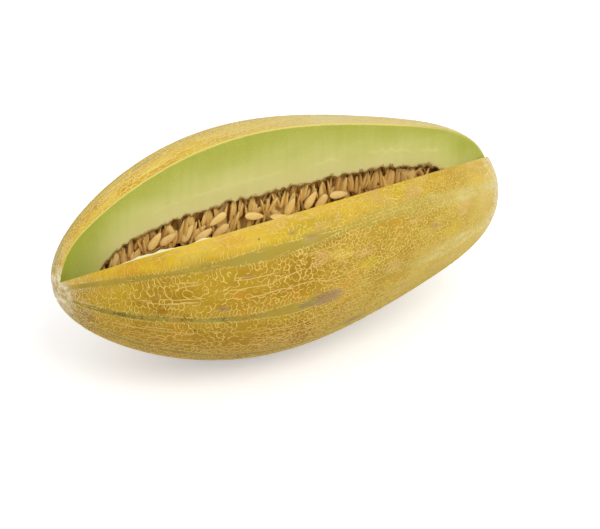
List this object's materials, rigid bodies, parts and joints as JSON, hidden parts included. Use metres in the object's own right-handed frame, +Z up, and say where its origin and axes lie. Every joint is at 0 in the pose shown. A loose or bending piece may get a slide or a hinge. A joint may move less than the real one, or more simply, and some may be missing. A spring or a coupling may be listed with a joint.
{
  "type": "cut muskmelon",
  "caption": "Long netted muskmelon lying on its side, with one lengthwise slice cut out to show green flesh and a cavity full of seeds.",
  "frame": {"origin": "on the ground, under the middle of the melon's bounding box", "axes": "+X along the melon from the stem scar to the blossom end, +Z up, the cut open to -Y and +Z"},
  "size_m": [0.285, 0.136, 0.1348],
  "materials": {
    "melon": "satin orange-yellow rind under pale corky netting, grey-green stripes, moist green flesh where it is cut",
    "seed_pulp": "moist brown fibrous pulp",
    "seeds": "smooth pale tan seed coat with fine lengthwise grain"
  },
  "bodies": {
    "root": {"melon": "melon", "seed_01": "seeds", "seed_02": "seeds", "seed_03": "seeds", "seed_04": "seeds", "seed_05": "seeds", "seed_06": "seeds", "seed_07": "seeds", "seed_08": "seeds", "seed_09": "seeds", "seed_10": "seeds", "seed_11": "seeds", "seed_12": "seeds", "seed_13": "seeds", "seed_14": "seeds", "seed_15": "seeds", "seed_16": "seeds", "seed_17": "seeds", "seed_18": "seeds", "seed_19": "seeds", "seed_20": "seeds", "seed_21": "seeds", "seed_22": "seeds", "seed_23": "seeds", "seed_24": "seeds", "seed_25": "seeds", "seed_26": "seeds", "seed_27": "seeds", "seed_28": "seeds", "seed_29": "seeds", "seed_30": "seeds", "seed_31": "seeds", "seed_32": "seeds", "seed_33": "seeds", "seed_34": "seeds", "seed_35": "seeds", "seed_36": "seeds", "seed_37": "seeds", "seed_38": "seeds", "seed_39": "seeds", "seed_40": "seeds", "seed_41": "seeds", "seed_42": "seeds", "seed_43": "seeds", "seed_44": "seeds", "seed_45": "seeds", "seed_46": "seeds", "seed_47": "seeds", "seed_48": "seeds", "seed_49": "seeds", "seed_50": "seeds", "seed_51": "seeds", "seed_52": "seeds", "seed_53": "seeds", "seed_54": "seeds", "seed_55": "seeds", "seed_56": "seeds", "seed_pulp": "seed_pulp"}
  },
  "joints": []
}
